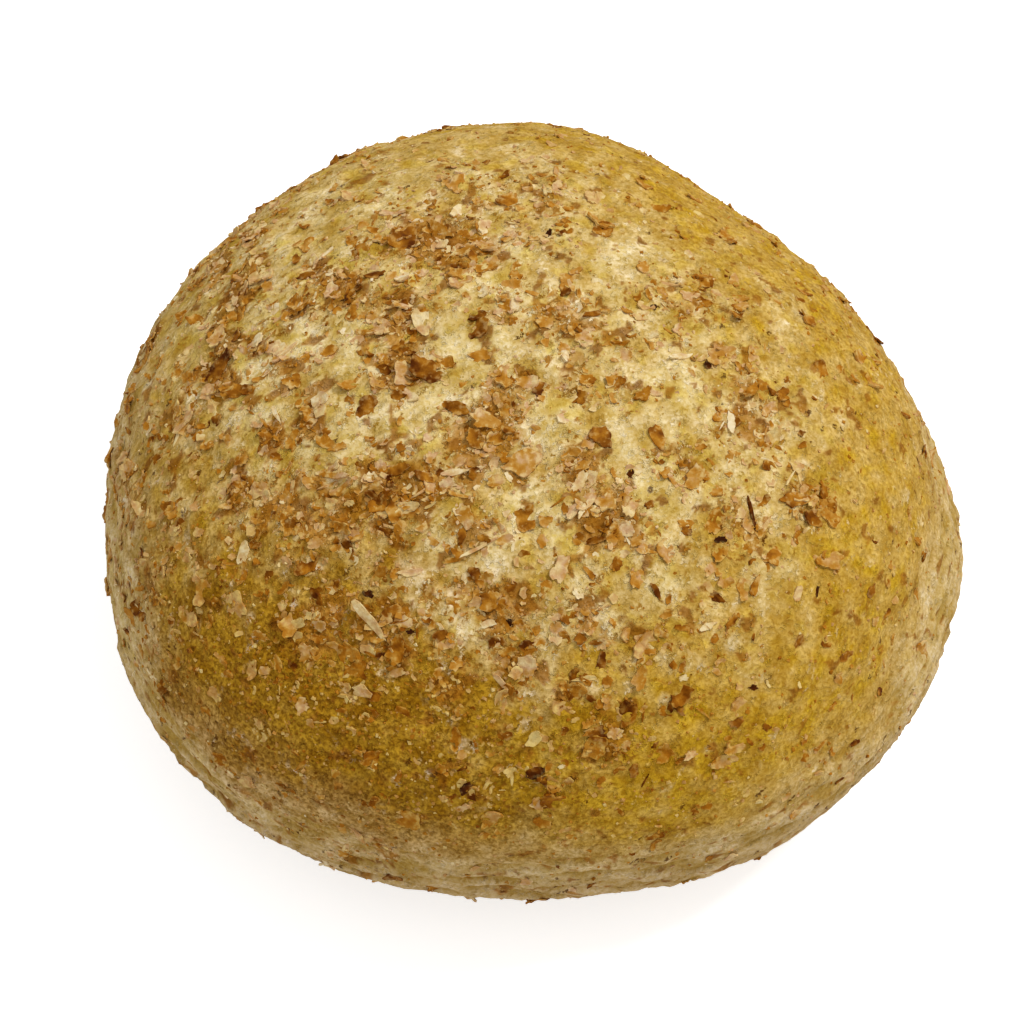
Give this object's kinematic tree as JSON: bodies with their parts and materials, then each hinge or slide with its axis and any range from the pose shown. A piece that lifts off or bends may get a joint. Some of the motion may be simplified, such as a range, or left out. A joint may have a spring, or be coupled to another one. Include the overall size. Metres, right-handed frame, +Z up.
{
  "type": "bran bun",
  "caption": "Round bran bread bun with a domed golden crust, a paler belly, coarse bran flakes baked on, and a flat underside to rest on.",
  "frame": {"origin": "on the flat underside, under the middle of the bun's bounding box", "axes": "+X along the bun's longest extent, towards the side where the belly spreads; +Y away from the picture's viewer; +Z up"},
  "size_m": [0.0976, 0.0942, 0.0545],
  "materials": {
    "crust": "matt baked crust, mottled golden brown with pale floury patches and darker bran",
    "bran": "dry wheat husk, brown to straw"
  },
  "bodies": {
    "root": {"bun": "crust"}
  },
  "joints": []
}
